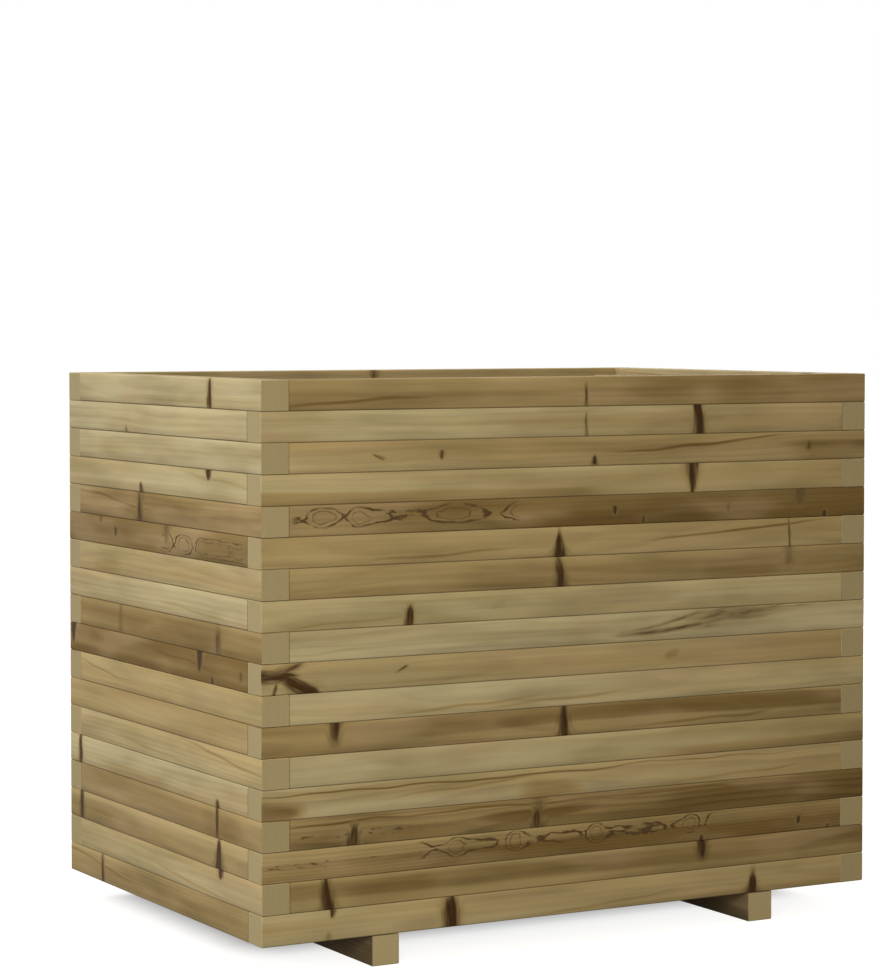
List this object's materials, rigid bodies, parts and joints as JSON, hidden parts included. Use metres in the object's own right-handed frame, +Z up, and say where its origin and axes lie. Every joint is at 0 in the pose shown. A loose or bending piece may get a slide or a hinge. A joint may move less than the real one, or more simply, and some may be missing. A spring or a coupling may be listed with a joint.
{
  "type": "raised garden bed",
  "caption": "Raised garden bed: open-topped timber box of stacked square laths with interlocked alternating corners, standing on cross skids, with a slatted draining floor.",
  "frame": {"origin": "on the ground under the middle of the bed, at the underside of the skids", "axes": "+X along the length of the bed, +Y across its width towards the back, +Z up; the front looks to -Y"},
  "size_m": [0.9, 0.6, 0.722],
  "materials": {
    "lath_pine": "planed pine, pressure-treated: greenish honey brown, dark knots, eased edges",
    "upright_pine": "pressure-treated pine, posts sawn and battens planed",
    "floor_pine": "rough-sawn pressure-treated pine boards",
    "skid_pine": "planed pressure-treated pine",
    "brad_steel": "galvanised flat-wire brads",
    "screw_zinc": "bright zinc-plated hexagon-head wood screws"
  },
  "bodies": {
    "root": {"base_brads": "brad_steel", "batten_back_left": "upright_pine", "batten_back_right": "upright_pine", "batten_front_left": "upright_pine", "batten_front_right": "upright_pine", "end_laths_01": "lath_pine", "end_laths_02": "lath_pine", "end_laths_03": "lath_pine", "end_laths_04": "lath_pine", "end_laths_05": "lath_pine", "end_laths_06": "lath_pine", "end_laths_07": "lath_pine", "end_laths_08": "lath_pine", "end_laths_09": "lath_pine", "end_laths_10": "lath_pine", "end_laths_11": "lath_pine", "end_laths_12": "lath_pine", "end_laths_13": "lath_pine", "end_laths_14": "lath_pine", "end_laths_15": "lath_pine", "end_laths_16": "lath_pine", "end_laths_17": "lath_pine", "end_laths_18": "lath_pine", "end_wall_brads": "brad_steel", "floor_board_1": "floor_pine", "floor_board_2": "floor_pine", "floor_board_3": "floor_pine", "floor_board_4": "floor_pine", "floor_board_5": "floor_pine", "floor_board_back": "floor_pine", "floor_board_front": "floor_pine", "long_laths_01": "lath_pine", "long_laths_02": "lath_pine", "long_laths_03": "lath_pine", "long_laths_04": "lath_pine", "long_laths_05": "lath_pine", "long_laths_06": "lath_pine", "long_laths_07": "lath_pine", "long_laths_08": "lath_pine", "long_laths_09": "lath_pine", "long_laths_10": "lath_pine", "long_laths_11": "lath_pine", "long_laths_12": "lath_pine", "long_laths_13": "lath_pine", "long_laths_14": "lath_pine", "long_laths_15": "lath_pine", "long_laths_16": "lath_pine", "long_laths_17": "lath_pine", "long_laths_18": "lath_pine", "long_wall_brads": "brad_steel", "panel_screws": "screw_zinc", "post_back_left": "upright_pine", "post_back_right": "upright_pine", "post_front_left": "upright_pine", "post_front_right": "upright_pine", "skid_left": "skid_pine", "skid_right": "skid_pine"}
  },
  "joints": []
}
